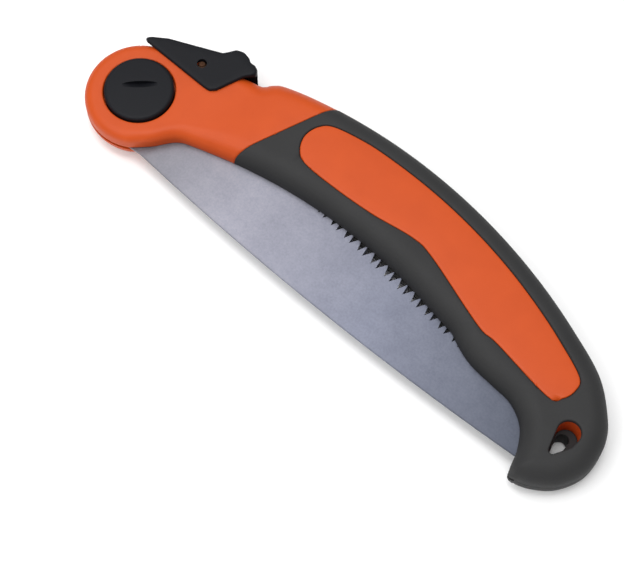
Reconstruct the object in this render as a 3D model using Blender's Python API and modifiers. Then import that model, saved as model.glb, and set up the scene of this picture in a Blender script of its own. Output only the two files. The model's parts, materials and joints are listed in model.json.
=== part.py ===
"""Folding pruning saw, folded shut and lying on its side.

X runs from the blade's pivot to the pommel, Y from the belly of the handle to its back, and Z through
its thickness. The origin is the point where the pivot's axis meets the plane that the saw rests on.
Lengths are written in millimetres. Heights inside the helpers count from the blade's mid-plane, which
lies MID_Z above that plane; every object hangs under an empty on the mid-plane.
"""
import math

import bmesh
import bpy
import numpy as np
from mathutils.geometry import delaunay_2d_cdt

MM = 0.001
GAP = 0.3                 # air between two pieces that touch on the real saw

# Handle
GRIP_HALF = 10.5          # half thickness over the soft grip
MID_Z = GRIP_HALF
HEAD_HALF = 8.2           # half thickness of the hard shell round the pivot
NECK_HALF = 10.1          # half thickness of the hard shell where the grip starts
NECK_X = (26.0, 54.0)     # the shell thickens between these
HEAD_RADIUS = 22.0
EDGE_ROUND = 8.0          # radius of the rounding between side and edge
HEAD_ROUND = {1: 4.0, -1: 7.0}   # the same at the head, front and rear
ROUND_X = (16.0, 44.0)    # it grows between these
SKIN = 2.0                # thickness of the soft grip over the shell
CORE_OVERLAP = 3.0        # how far the core passes the split plane, and the space of the grip
MOULD_OVERLAP = 2.0
MOULD_REACH = 16.0
OUTLINE_STEP = 5.0
ROUND_STEPS = 3
BELLY_FRONT = ((18, -12.5), (24, -5))
BELLY_TOP = (102.5, 10.1)
BELLY_RADIUS = 221.0      # of the long arch between these
BELLY_ARCH_X = (31.0, 150.0)
BELLY_REAR = ((157, 3.8), (163, 1), (171, -1.5), (182, -2.5), (191, -3.5), (199, -8), (204, -15.5),
              (206.8, -24))
HOOK = ((208.2, -26), (210.4, -25.6))
POMMEL_LOW = (206.8, -3.0, 22.5)     # centre and radius of its lower and its upper arc
POMMEL_HIGH = (203.3, -3.0, 26.0)
BACK_TOP = (104.5, 50.1)
BACK_RADII = (225.0, 240.0)          # before and behind its highest point
BACK_X = (210.0, 42.0)
CROWN = ((36.8, 38.1), (34.4, 35.1), (30, 33.8), (20, 30.6), (10, 27.4), (0, 24), (-6, 22.2))
HEAD_ARC = (113.0, 301.0)

# Soft grip
GRIP_FRONT = ((71, 62), (41.4, -12))
WINDOW_RIM = 8.5          # width of the soft strip between the window and the back
WINDOW_BACK_X = (78, 196)  # the strip keeps that width between these
WINDOW_STEP = 14.0
WINDOW_SPLIT_Y = 20.0      # between its back edge and its low edge
WINDOW_FRONT = (73.5, 28.0, 10.3)    # centre and radius of its two round ends
WINDOW_REAR = (199.2, 12.6, 8.3)
WINDOW_LOW = ((88, 17.5), (105, 18.5), (123, 21), (134, 19.5), (164, 9.5), (174, 8.5))
LANYARD = ((215.4, -1.1, 4.5), (217.2, -4.4, 2.6), (214.9, -10.6, 1.3))   # circles in its corners
LINING = 1.9              # the rear grip lines the lanyard hole to this depth,
LINING_SHIFT = (-0.96, -0.84)   # more at the back and less at the belly

# Blade
BLADE_HALF = 0.6
CHANNEL_HALF = 0.9
WASHER_ROOM = 1.9         # half height of the pocket round the pivot
CHANNEL_CLEAR = 1.2
CHANNEL_ROOM = 4.0        # above the tooth tips, behind the edge of the belly
CHANNEL_FALL_X = 194.0    # behind this the channel narrows to the blade's tip
CUT_REACH = 14.0          # half length of a cutter that passes through the whole handle
FAR_LEFT = -60.0          # places well outside the handle
FAR_LOW = -80.0
FAR_RIGHT = 245.0
FAR_TOP = 45.0
PAWL_ROOM_CORNER = (-14.0, 12.0)
SPINE_ENDS_Y = -17.8
SPINE_SAG = 3.7
TIP_X = 210.0
TIP_REAR = (201.0, -3.6)
TOOTH_PITCH = 3.66
TOOTH_DEPTH = 4.4
TOOTH_COUNT = 46
TOOTH_LEAN = 0.35         # share of the pitch from a gullet to the next tip
FIRST_GULLET = (30.7, 14.2)
TOOTH_SLOPE = -0.1015
HEEL_Y = 18.0
TANG_END_X = 18.6         # the channel is open to the back before this
TANG_RADIUS = 16.5
OPEN_ANGLE = 172.0
REST = (24.0, 31.0, HEEL_Y + GAP, 26.4)   # bumper for the heel of the folded blade

# Lock
PIN = (11.35, 24.55)
PIN_RADIUS = 1.6
PIN_END = 1.1
LEVER_HALF = 10.0
LEVER_EDGE = 1.2
LEVER_SWING = (-5.0, 8.0)  # dropped into a notch, and pressed
LEVER_TOP = ((29.4, 33.2), (30.6, 34.8), (29.8, 37), (27.8, 37.9), (25.6, 37.7), (23.6, 39), (20.4, 39.6),
             (17.4, 38.4), (15.7, 35.8), (14.3, 33.8), (4.6, 29.5), (-6.8, 24.5), (-12.2, 20.8))
LEVER_LOW = ((-13.6, 19.4), (-13.5, 18.4), (-12.2, 17.9), (-10, 17.8), (18.8, 17.4), (21.4, 17.7),
             (23.4, 19.6), (27, 29.2), (27.8, 31.2))
LEVER_CLEAR = 0.45
PAWL_ANGLE = 108.0
PAWL_TIP_HALF_ANGLE = 4.6
PAWL_EYE = 3.9
NOTCH_ANGLE = 106.3
NOTCH_HALF_ANGLE = 8.3
NOTCH_FLOOR = 14.4
PAWL_HALF = 1.25
PAWL_TIP_RADIUS = TANG_RADIUS + GAP
STOP_ANGLE = 121.0
STOP_DISTANCE = 18.6
STOP_RADIUS = 1.4
STEP_RADIUS = 21.2        # of the tang's shoulder that meets the stop pin when open
SPRING_X = 22.0
SPRING_RADIUS = 1.7
SPRING_WIRE = 0.35
SPRING_SPAN = (25.6, 31.2)
SPRING_TURNS = 5

# Pivot
RECESS_RADIUS = 14.4
RECESS_FLOOR = 4.6
KNOB_RADIUS = 13.9
KNOB_RIM = 9.5
KNOB_TOP = 10.3
SLOT_HALF = (7.35, 1.45)
SLOT_ANGLE = 42.8
SLOT_CENTRE = (-0.65, 1.45)
SLOT_FLOOR = 8.9
BOLT_RADIUS = 3.0
SLEEVE_RADIUS = 4.0
WASHER_RADIUS = 9.0
HEX_RADIUS = 6.0

# Screws, seen from the rear
SCREWS = ((40, 28), (92, 31), (148, 27), (202, 14))
SCREW_HEAD = 3.0
SCREW_SHANK = 1.4
SCREW_SEAT = -7.6

ORANGE = (0.72, 0.14, 0.055)
SOFT_GREY = (0.043, 0.043, 0.043)
BLACK = (0.022, 0.022, 0.026)
STEEL = (0.35, 0.34, 0.38)
BRIGHT = (0.55, 0.55, 0.57)
RUBBER = (0.03, 0.03, 0.03)


# ---------------------------------------------------------------- scene and materials

def clear_scene():
    for obj in list(bpy.data.objects):
        bpy.data.objects.remove(obj, do_unlink=True)


def new_collection(name, hidden):
    collection = bpy.data.collections.new(name)
    bpy.context.scene.collection.children.link(collection)
    collection.hide_render = hidden
    return collection


def new_empty(name, parent, x, y, z):
    empty = bpy.data.objects.new(name, None)
    parts.objects.link(empty)
    empty.parent = parent
    empty.location = (x * MM, y * MM, z * MM)
    return empty


def principled(name, colour, roughness, metallic=0.0):
    made = bpy.data.materials.new(name)
    made.use_nodes = True
    shader = made.node_tree.nodes["Principled BSDF"]
    shader.inputs["Base Color"].default_value = (*colour, 1)
    shader.inputs["Roughness"].default_value = roughness
    shader.inputs["Metallic"].default_value = metallic
    return made


# ---------------------------------------------------------------- outlines

def polar(radius, degrees):
    return (radius * math.cos(math.radians(degrees)), radius * math.sin(math.radians(degrees)))


def arc(radius, start, end, step=OUTLINE_STEP):
    count = max(2, round(abs(math.radians(end - start)) * radius / step))
    return [polar(radius, start + (end - start) * i / count) for i in range(count + 1)]


def resample(points, step):
    """Points evenly spaced along an open run, both of its ends kept."""
    points = np.array(points, float)
    along = np.concatenate([[0], np.cumsum(np.linalg.norm(np.diff(points, axis=0), axis=1))])
    count = max(1, round(along[-1] / step))
    wanted = np.linspace(0, along[-1], count + 1)
    return [tuple(row) for row in np.column_stack([np.interp(wanted, along, points[:, k]) for k in (0, 1)])]


def catmull(points, fineness=12):
    """A smooth run through every point."""
    points = np.array(points, float)
    padded = np.vstack([2 * points[0] - points[1], points, 2 * points[-1] - points[-2]])
    run = []
    for a, b, c, d in zip(padded, padded[1:], padded[2:], padded[3:]):
        for t in np.arange(fineness) / fineness:
            run.append(0.5 * (2 * b + (c - a) * t + (2 * a - 5 * b + 4 * c - d) * t ** 2
                              + (3 * b - a - 3 * c + d) * t ** 3))
    return [tuple(point) for point in run] + [tuple(points[-1])]


def closed_smooth(points, step):
    """A smooth loop through every point, its first point not repeated."""
    around = list(points[-2:]) + list(points) + list(points[:2])
    fineness = 12
    return resample(catmull(around, fineness)[2 * fineness:-fineness], step)[:-1]


def band(circles, step):
    """The tight loop round a few circles, each an x, a y and a radius."""
    run = []
    for turn in np.radians(np.arange(0, 360, 3)):
        way = (math.cos(turn), math.sin(turn))
        x, y, radius = max(circles, key=lambda c: c[0] * way[0] + c[1] * way[1] + c[2])
        run.append((x + radius * way[0], y + radius * way[1]))
    return resample([*run, run[0]], step)[:-1]


def arched(top, radius, x):
    """Height at x of a wide circle, from its highest point."""
    return top[1] - radius + math.sqrt(radius ** 2 - (x - top[0]) ** 2)


def round_part(circle, start, end, step):
    """Part of a circle given by its centre and radius."""
    x, y, radius = circle
    return [(x + u, y + v) for u, v in arc(radius, start, end, step)]


def handle_outline(step=OUTLINE_STEP):
    head = arc(HEAD_RADIUS, *HEAD_ARC, step)
    belly = [(x, arched(BELLY_TOP, BELLY_RADIUS, x)) for x in np.linspace(*BELLY_ARCH_X, 7)]
    pommel = round_part(POMMEL_LOW, -65, -20, 9) + round_part(POMMEL_HIGH, 0, 45, 10)
    back = [(x, arched(BACK_TOP, BACK_RADII[int(x > BACK_TOP[0])], x)) for x in np.linspace(*BACK_X, 10)]
    rest = catmull([head[-2], head[-1], *BELLY_FRONT, *belly, *BELLY_REAR, *HOOK, *pommel, *back, *CROWN,
                    head[0], head[1]])
    return head[1:-1] + resample(rest[12:-12], step)


def inside_distance(points, outline):
    """How far each point lies from the nearest stretch of a closed outline."""
    points = np.array(points, float)[:, None, :]
    start = np.array(outline, float)
    run = np.roll(start, -1, axis=0) - start
    along = np.clip(((points - start) * run).sum(2) / (run ** 2).sum(1), 0, 1)
    return np.linalg.norm(points - start - along[..., None] * run, axis=2).min(1)


def is_inside(points, outline):
    """Which points a closed outline encloses."""
    x, y = points[:, :1], points[:, 1:]
    start = np.array(outline, float)
    end = np.roll(start, -1, axis=0)
    rise = end[:, 1] - start[:, 1]
    rise[rise == 0] = 1e-12
    crossing = (start[:, 1] > y) != (end[:, 1] > y)
    at = (end[:, 0] - start[:, 0]) * (y - start[:, 1]) / rise + start[:, 0]
    return (crossing & (x < at)).sum(1) % 2 == 1


def offset_points(outline, distance):
    """The outline moved inwards, without the points that a nearer stretch has overtaken."""
    points = np.array(outline, float)
    run = np.roll(points, -1, axis=0) - np.roll(points, 1, axis=0)
    inward = np.column_stack([-run[:, 1], run[:, 0]]) / np.linalg.norm(run, axis=1)[:, None]
    moved = points + inward * distance
    return moved[inside_distance(moved, outline) > 0.97 * distance]


def thinned(points, least):
    kept = []
    for point in points:
        if not kept or math.dist(point, kept[-1]) > least:
            kept.append(tuple(point))
    return kept


# ---------------------------------------------------------------- solids

def add_object(name, mesh, material, parent, collection=None):
    obj = bpy.data.objects.new(name, mesh)
    (collection or parts).objects.link(obj)
    obj.parent = parent
    if material:
        mesh.materials.append(material)
    return obj


def finish_mesh(name, bm, smooth_angle=35):
    bmesh.ops.recalc_face_normals(bm, faces=bm.faces)
    mesh = bpy.data.meshes.new(name)
    bm.to_mesh(mesh)
    bm.free()
    mesh.shade_smooth()
    mesh.set_sharp_from_angle(angle=math.radians(smooth_angle))
    return mesh


def between(x, reach, before, after):
    """A value that changes smoothly along X from one end of the reach to the other."""
    share = min(max((x - reach[0]) / (reach[1] - reach[0]), 0), 1)
    return before + (after - before) * share * share * (3 - 2 * share)


def shell_half(x):
    """Half thickness of the hard shell's flat side at x."""
    return between(x, NECK_X, HEAD_HALF, NECK_HALF)


def edge_round(x, side):
    """Radius of the rounding at the edge of one side at x."""
    return between(x, ROUND_X, HEAD_ROUND[side], EDGE_ROUND)


def rounded(half, radius, distance):
    """Height of a side that rounds over towards its outline."""
    short = max(radius - distance, 0)
    return half - radius + math.sqrt(max(radius ** 2 - short ** 2, 0))


def triangulate(points, boundary_count):
    edges = [(i, (i + 1) % boundary_count) for i in range(boundary_count)]
    return delaunay_2d_cdt([tuple(p) for p in points], edges, [], 1, 1e-6)


def slab(name, outline, radius, top, bottom, grid=14.0):
    """A solid between two height functions of (x, y, distance from the outline)."""
    rings = [radius * (1 - math.cos(math.pi / 2 * k / ROUND_STEPS)) for k in range(1, ROUND_STEPS + 1)]
    points = [np.array(outline, float)]
    for distance in rings:
        points.append(offset_points(outline, distance))
    low, high = points[0].min(0), points[0].max(0)
    columns, rows = np.meshgrid(np.arange(low[0], high[0], grid), np.arange(low[1], high[1], grid))
    inner = np.column_stack([columns.ravel(), rows.ravel()])
    clear = inside_distance(inner, outline) > radius + 3
    points.append(inner[clear & is_inside(inner, outline)])
    result = triangulate(np.vstack(points), len(outline))
    flat, faces = result[0], result[2]
    depth = inside_distance([tuple(v) for v in flat], outline)
    bm = bmesh.new()
    levels = []
    for height in (bottom, top):
        made = [(v.x * MM, v.y * MM, height(v.x, v.y, d) * MM) for v, d in zip(flat, depth)]
        levels.append([bm.verts.new(point) for point in made])
    sides = set()
    for face in faces:
        bm.faces.new([levels[1][i] for i in face])
        bm.faces.new([levels[0][i] for i in reversed(face)])
        sides.update(zip(face, face[1:] + face[:1]))
    for a, b in sorted(sides):
        if (b, a) not in sides:
            bm.faces.new((levels[0][a], levels[0][b], levels[1][b], levels[1][a]))
    return finish_mesh(name, bm)


def half_slab(name, outline, side, half_at, inset=0.0, split=GAP / 2):
    """One half of the handle: flat on the split plane and rounded over on its outside."""

    def outer(x, y, distance):
        return side * rounded(half_at(x), edge_round(x, side) - inset, distance)

    def inner(x, y, distance):
        return side * split

    return slab(name, outline, EDGE_ROUND - inset, outer, inner)


def prism(name, outline, low, high, material=None, parent=None, collection=None):
    """A flat outline made solid between two heights."""
    curve = bpy.data.curves.new(name, "CURVE")
    curve.dimensions = "2D"
    curve.fill_mode = "BOTH"
    curve.extrude = (high - low) / 2 * MM
    spline = curve.splines.new("POLY")
    spline.points.add(len(outline) - 1)
    for point, (x, y) in zip(spline.points, outline):
        point.co = (x * MM, y * MM, 0, 1)
    spline.use_cyclic_u = True
    guide = bpy.data.objects.new(name + "_guide", curve)
    bpy.context.scene.collection.objects.link(guide)
    bpy.context.view_layer.update()
    mesh = bpy.data.meshes.new_from_object(guide.evaluated_get(bpy.context.evaluated_depsgraph_get()))
    bpy.data.objects.remove(guide)
    bm = bmesh.new()
    bm.from_mesh(mesh)
    bpy.data.meshes.remove(mesh)
    bmesh.ops.remove_doubles(bm, verts=bm.verts, dist=1e-6)
    bmesh.ops.translate(bm, verts=bm.verts, vec=(0, 0, (low + high) / 2 * MM))
    mesh = finish_mesh(name, bm)
    return add_object(name, mesh, material, parent or mid_plane, collection)


def turned(name, profile, x, y, material=None, parent=None, collection=None, steps=32, start=0.0):
    """A profile of (radius, height) pairs, highest first, turned about an upright axis."""
    mesh = bpy.data.meshes.new(name)
    verts = [(r * MM * math.cos(start), r * MM * math.sin(start), z * MM) for r, z in profile]
    edges = [(i, i + 1) for i in range(len(verts) - 1)]
    if profile[0][0] > 0:
        edges.append((len(verts) - 1, 0))
    mesh.from_pydata(verts, edges, [])
    obj = add_object(name, mesh, None, parent or mid_plane, collection)
    screw = obj.modifiers.new("turn", "SCREW")
    screw.steps = steps
    screw.render_steps = steps
    screw.use_merge_vertices = True
    screw.merge_threshold = 1e-5
    bpy.context.view_layer.update()
    solid = bpy.data.meshes.new_from_object(obj.evaluated_get(bpy.context.evaluated_depsgraph_get()))
    obj.modifiers.clear()
    bm = bmesh.new()
    bm.from_mesh(solid)
    bpy.data.meshes.remove(solid)
    bmesh.ops.remove_doubles(bm, verts=bm.verts, dist=1e-6)
    obj.data = finish_mesh(name, bm)
    obj.location = (x * MM, y * MM, 0)
    if material:
        obj.data.materials.append(material)
    return obj


def rod(name, radius, low, high, x, y, material=None, parent=None, collection=None, steps=24, start=0.0):
    profile = ((0, high), (radius, high), (radius, low), (0, low))
    return turned(name, profile, x, y, material, parent, collection, steps, start)


def ring(name, outer, inner, low, high, x, y, material, parent=None):
    profile = ((inner, high), (outer, high), (outer, low), (inner, low))
    return turned(name, profile, x, y, material, parent)


def as_cutter(obj):
    obj.hide_render = True
    obj.display_type = "WIRE"
    return obj


def cut(target, *tools, operation="DIFFERENCE", solver="EXACT"):
    for tool in tools:
        modifier = target.modifiers.new(tool.name, "BOOLEAN")
        modifier.operation = operation
        modifier.object = tool
        modifier.solver = solver
    return target


# ---------------------------------------------------------------- cutters

def spine_y(x):
    middle = (14.0 + TIP_X) / 2
    reach = TIP_X - middle
    return SPINE_ENDS_Y - SPINE_SAG * (1 - ((x - middle) / reach) ** 2)


def tooth_line(x):
    return FIRST_GULLET[1] + TOOTH_SLOPE * (x - FIRST_GULLET[0])


def channel_outline():
    """All that the folded blade fills and sweeps, with the pawl's slot at the top of the head."""
    top = CHANNEL_ROOM + TOOTH_DEPTH
    tip_radius = math.hypot(TIP_X, SPINE_ENDS_Y) + CHANNEL_CLEAR
    swept = arc(tip_radius, -18, -4.6, 12)
    tip_rear = (TIP_REAR[0] + CHANNEL_CLEAR, TIP_REAR[1] + CHANNEL_CLEAR + 1)
    rest_side, rest_top = REST[0] - GAP, REST[3] + GAP
    return [(FAR_LEFT, FAR_LOW), (swept[0][0], FAR_LOW), *swept, tip_rear,
            (CHANNEL_FALL_X, tooth_line(CHANNEL_FALL_X) + top),
            (REST[1] + GAP, tooth_line(REST[1]) + top), (REST[1] + GAP, rest_top), (rest_side, rest_top),
            (rest_side, tooth_line(rest_side) + top), (TANG_END_X, tooth_line(TANG_END_X) + top),
            (TANG_END_X, FAR_TOP), (FAR_LEFT, FAR_TOP)]


def box_outline(left, right, low, high):
    return [(left, low), (right, low), (right, high), (left, high)]


def lanyard_region(inset):
    outline = band(LANYARD, 2.2)
    return thinned(offset_points(outline, inset), 0.8) if inset else outline


def make_cutters():
    made = {}

    def keep(obj):
        made[obj.name] = as_cutter(obj)

    reach = CUT_REACH
    keep(prism("cut_channel", channel_outline(), -CHANNEL_HALF, CHANNEL_HALF, collection=cutters))
    keep(rod("cut_washers", WASHER_RADIUS + GAP, -WASHER_ROOM, WASHER_ROOM, 0, 0, collection=cutters))
    pawl_room = PAWL_HALF + GAP
    left, low = PAWL_ROOM_CORNER
    room = box_outline(left, TANG_END_X + 0.5, low, FAR_TOP)
    keep(prism("cut_pawl_room", room, -pawl_room, pawl_room, collection=cutters))
    keep(prism("cut_lanyard", lanyard_region(0), -reach, reach, collection=cutters))
    lining = [(x + LINING_SHIFT[0], y + LINING_SHIFT[1]) for x, y in lanyard_region(LINING)]
    keep(prism("cut_lining", lining, -reach, reach, collection=cutters))
    spring_reach = SPRING_RADIUS + SPRING_WIRE + GAP
    well = box_outline(SPRING_X - spring_reach, SPRING_X + spring_reach, 25, 40)
    keep(prism("cut_spring_well", well, -spring_reach, spring_reach, collection=cutters))
    keep(rod("cut_pin", PIN_RADIUS + GAP, -reach, reach, *PIN, collection=cutters))
    stop = polar(STOP_DISTANCE, STOP_ANGLE)
    keep(rod("cut_stop", STOP_RADIUS + GAP, -5.3, 5.3, *stop, collection=cutters, steps=16))
    keep(rod("cut_bolt", BOLT_RADIUS + GAP, -reach, reach, 0, 0, collection=cutters))
    keep(rod("cut_sleeve", SLEEVE_RADIUS + GAP, -2.9, 2.9, 0, 0, collection=cutters))
    for side, word in ((1, "front"), (-1, "rear")):
        ends = sorted((side * RECESS_FLOOR, side * reach))
        keep(rod(f"cut_{word}_recess", RECESS_RADIUS, *ends, 0, 0, collection=cutters, steps=56))
    for n, (x, y) in enumerate(SCREWS, 1):
        profile = ((0, 6.3), (SCREW_SHANK + GAP, 6.3), (SCREW_SHANK + GAP, SCREW_SEAT),
                   (SCREW_HEAD + GAP, SCREW_SEAT), (SCREW_HEAD + GAP, -reach), (0, -reach))
        keep(turned(f"cut_screw_{n}", profile, x, y, collection=cutters, steps=16))
    return made


def grip_region(inset):
    """The area that the soft grip covers on a side: all behind its front edge."""
    far = [(FAR_RIGHT, FAR_LOW), (FAR_RIGHT, GRIP_FRONT[0][1])]
    return [(x - inset, y) for x, y in GRIP_FRONT] + far


def window_region(inset):
    low, high = WINDOW_BACK_X
    rim = offset_points(handle_outline(WINDOW_STEP), WINDOW_RIM)
    back = [(x, y) for x, y in rim if low < x < high and y > WINDOW_SPLIT_Y]
    front = round_part(WINDOW_FRONT, 110, 260, 7)
    rear = round_part(WINDOW_REAR, -80, 45, 6)
    outline = closed_smooth([*rear, *back, *front, *WINDOW_LOW], 5.0)
    if inset:
        outline = thinned(offset_points(outline, inset), 1.0)
    return outline


# ---------------------------------------------------------------- handle

def core_mesh(name, side, inset):
    """The hard shell under the soft grip, a skin's depth below its surface."""
    outline = thinned(offset_points(handle_outline(), inset), 1.0)
    return half_slab(name, outline, side, lambda x: GRIP_HALF - inset, inset, -CORE_OVERLAP)


def grip_mould(word, side, gap):
    """The space of one soft grip, grown by gap: what its shell leaves free."""
    low, high = sorted((-side * MOULD_OVERLAP, side * MOULD_REACH))
    region = prism(f"{word}_region_{gap}", grip_region(gap), low, high, collection=cutters)
    window = prism(f"{word}_window_{gap}", window_region(gap), low - 1, high + 1, collection=cutters)
    core = add_object(f"{word}_core_{gap}", core_mesh(f"{word}_core_{gap}", side, SKIN + gap), None,
                      mid_plane, cutters)
    for tool in (region, window, core):
        as_cutter(tool)
    if gap:
        return cut(region, window, core, solver="MANIFOLD")
    if side < 0:
        lining = prism("lining_space", lanyard_region(GAP), -MOULD_REACH, MOULD_REACH, collection=cutters)
        cut(core, as_cutter(lining), solver="MANIFOLD")
    return region, window, core


def make_handle_half(word, side, tools, orange, grey):
    outline = handle_outline()
    shell = add_object(f"{word}_shell", half_slab(f"{word}_shell", outline, side, shell_half), orange,
                       mid_plane)
    cut(shell, grip_mould(word, side, GAP), solver="MANIFOLD")
    grip = add_object(f"{word}_grip", half_slab(f"{word}_grip", outline, side, lambda x: GRIP_HALF), grey,
                      mid_plane)
    region, window, core = grip_mould(word, side, 0.0)
    cut(grip, region, operation="INTERSECT", solver="MANIFOLD")
    cut(grip, window, core, solver="MANIFOLD")
    cut(grip, tools["cut_channel"], tools["cut_lanyard" if side > 0 else "cut_lining"], solver="MANIFOLD")
    holes = ["cut_channel", "cut_washers", "cut_pawl_room", "cut_lanyard", f"cut_{word}_recess", "cut_bolt",
             "cut_sleeve", "cut_pin", "cut_stop", "cut_spring_well"]
    holes += [f"cut_screw_{n}" for n in range(1, len(SCREWS) + 1)]
    cut(shell, *[tools[hole] for hole in holes], solver="MANIFOLD")
    return shell, grip


# ---------------------------------------------------------------- blade and pivot

def blade_outline():
    """Spine, raked tip, teeth, heel and the round tang with its two notches, anticlockwise."""
    step_angle = STOP_ANGLE + OPEN_ANGLE - 360 + math.degrees((STOP_RADIUS + GAP + 0.05) / STOP_DISTANCE)
    points = [polar(STEP_RADIUS, step_angle)]
    points += [(x, spine_y(x)) for x in np.linspace(16, TIP_X - 1.5, 16)]
    points += [(TIP_X - 0.3, SPINE_ENDS_Y + 0.5), (TIP_X - 0.6, SPINE_ENDS_Y + 1.6), TIP_REAR]
    for n in reversed(range(TOOTH_COUNT)):
        x = FIRST_GULLET[0] + n * TOOTH_PITCH
        points.append((x + TOOTH_PITCH * (1 - TOOTH_LEAN) + 0.15, tooth_line(x) + TOOTH_DEPTH))
        points.append((x + TOOTH_PITCH * (1 - TOOTH_LEAN) - 0.15, tooth_line(x) + TOOTH_DEPTH))
        points.append((x, tooth_line(x)))
    points += [(FIRST_GULLET[0] - 1.2, HEEL_Y), (19, HEEL_Y)]
    angle = 78.0
    for notch in (NOTCH_ANGLE, NOTCH_ANGLE + OPEN_ANGLE):
        near, far = notch - NOTCH_HALF_ANGLE, notch + NOTCH_HALF_ANGLE
        points += arc(TANG_RADIUS, angle, near)
        points += arc(NOTCH_FLOOR, near + 0.6, far - 0.6, 3)
        angle = far
    points += arc(TANG_RADIUS, angle, 360 + step_angle)
    return points


def make_blade(steel):
    blade = prism("blade", blade_outline(), -BLADE_HALF, BLADE_HALF, steel, blade_axis)
    eye = as_cutter(rod("cut_blade_eye", SLEEVE_RADIUS + GAP, -3, 3, 0, 0, collection=cutters))
    cut(blade, eye)


def hex_rod(name, radius, low, high, **where):
    return rod(name, radius, low, high, 0, 0, steps=6, **where)


def make_pivot(black, bright, tools):
    floor = RECESS_FLOOR + GAP
    dome = [(KNOB_RADIUS * math.sin(t), KNOB_RIM + (KNOB_TOP - KNOB_RIM) * math.cos(t))
            for t in np.linspace(0, 0.43 * math.pi, 7)]
    knob = turned("pivot_knob", [*dome, (KNOB_RADIUS, KNOB_RIM - 0.5), (KNOB_RADIUS, floor), (0, floor)],
                  0, 0, black, screw_axis, steps=48)
    slot_turn = math.radians(SLOT_ANGLE)
    slot = []
    for side in (1, -1):
        for u, v in arc(SLOT_HALF[1], -90, 90, 0.9):
            u, v = side * (u + SLOT_HALF[0] - SLOT_HALF[1]), side * v
            slot.append((SLOT_CENTRE[0] + u * math.cos(slot_turn) - v * math.sin(slot_turn),
                         SLOT_CENTRE[1] + u * math.sin(slot_turn) + v * math.cos(slot_turn)))
    cut(knob, as_cutter(prism("cut_slot", slot, SLOT_FLOOR, 12, collection=cutters)),
        as_cutter(hex_rod("cut_knob_hex", HEX_RADIUS + GAP, 5.4, 7.4 + GAP, collection=cutters)),
        as_cutter(rod("cut_knob_washer", 7.5, 2, 5.7, 0, 0, collection=cutters)))

    bolt = hex_rod("pivot_bolt", HEX_RADIUS, 5.8, 7.4, material=bright, parent=screw_axis)
    shank = rod("bolt_shank", BOLT_RADIUS, -7.6, 6.4, 0, 0, collection=cutters)
    cut(bolt, as_cutter(shank), operation="UNION")
    ring("spring_washer", 7.0, BOLT_RADIUS + GAP, floor, 5.5, 0, 0, bright)
    ring("pivot_sleeve", SLEEVE_RADIUS, BOLT_RADIUS + GAP, -2.6, 2.6, 0, 0, bright)
    for side, word in ((1, "front"), (-1, "rear")):
        ends = sorted((side * (BLADE_HALF + GAP), side * (WASHER_ROOM - GAP)))
        ring(f"{word}_washer", WASHER_RADIUS, SLEEVE_RADIUS + GAP, *ends, 0, 0, bright)

    nut = hex_rod("pivot_nut", HEX_RADIUS, -7.4, -floor, material=bright, parent=mid_plane)
    cut(nut, tools["cut_bolt"])
    cap = turned("rear_cap", [(0, -floor), (KNOB_RADIUS, -floor), (KNOB_RADIUS, -9.4), (13.2, -GRIP_HALF),
                              (0, -GRIP_HALF)], 0, 0, black, steps=48)
    cut(cap, as_cutter(hex_rod("cut_cap_hex", HEX_RADIUS + GAP, -7.9, -2, collection=cutters)))


# ---------------------------------------------------------------- lock

def make_lever(black, tools):
    outline = resample([*LEVER_LOW, *LEVER_TOP, LEVER_LOW[0]], 2.4)[:-1]

    def top(x, y, distance):
        return rounded(LEVER_HALF, LEVER_EDGE, distance)

    def bottom(x, y, distance):
        return -rounded(LEVER_HALF, LEVER_EDGE, distance)

    mesh = slab("lock_lever", outline, LEVER_EDGE, top, bottom)
    lever = add_object("lock_lever", mesh, black, mid_plane)
    for n, turn in enumerate((LEVER_SWING[0], 0.0, LEVER_SWING[1])):
        body = head_block(f"cut_lever_{n}", LEVER_CLEAR)
        body.location = (PIN[0] * MM, PIN[1] * MM, 0)
        body.rotation_euler = (0, 0, math.radians(turn))
        cut(lever, body)
    cut(lever, tools["cut_pin"])
    reach = PAWL_HALF + GAP
    outline = [(-11.6, 10), (17.2, 10), (17.2, 31.2), (4.6, 27.7), (-6.8, 22.9), (-11.6, 19.6)]
    cut(lever, as_cutter(prism("cut_pawl_slot", outline, -reach, reach, collection=cutters)))


def head_block(name, clear):
    """The head and neck of the handle, both halves and slightly grown, with its origin on the lever's pin."""
    grown = offset_points(handle_outline(), -clear)
    outline = thinned([p for p in grown if p[0] < 46], 1.5)

    def top(x, y, distance):
        return rounded(shell_half(x) + clear, edge_round(x, 1) + clear, distance)

    def bottom(x, y, distance):
        return -rounded(shell_half(x) + clear, edge_round(x, -1) + clear, distance)

    mesh = slab(name, outline, EDGE_ROUND, top, bottom)
    bm = bmesh.new()
    bm.from_mesh(mesh)
    bpy.data.meshes.remove(mesh)
    bmesh.ops.translate(bm, verts=bm.verts, vec=(-PIN[0] * MM, -PIN[1] * MM, 0))
    mesh = finish_mesh(name, bm)
    return as_cutter(add_object(name, mesh, None, mid_plane, cutters))


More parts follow.
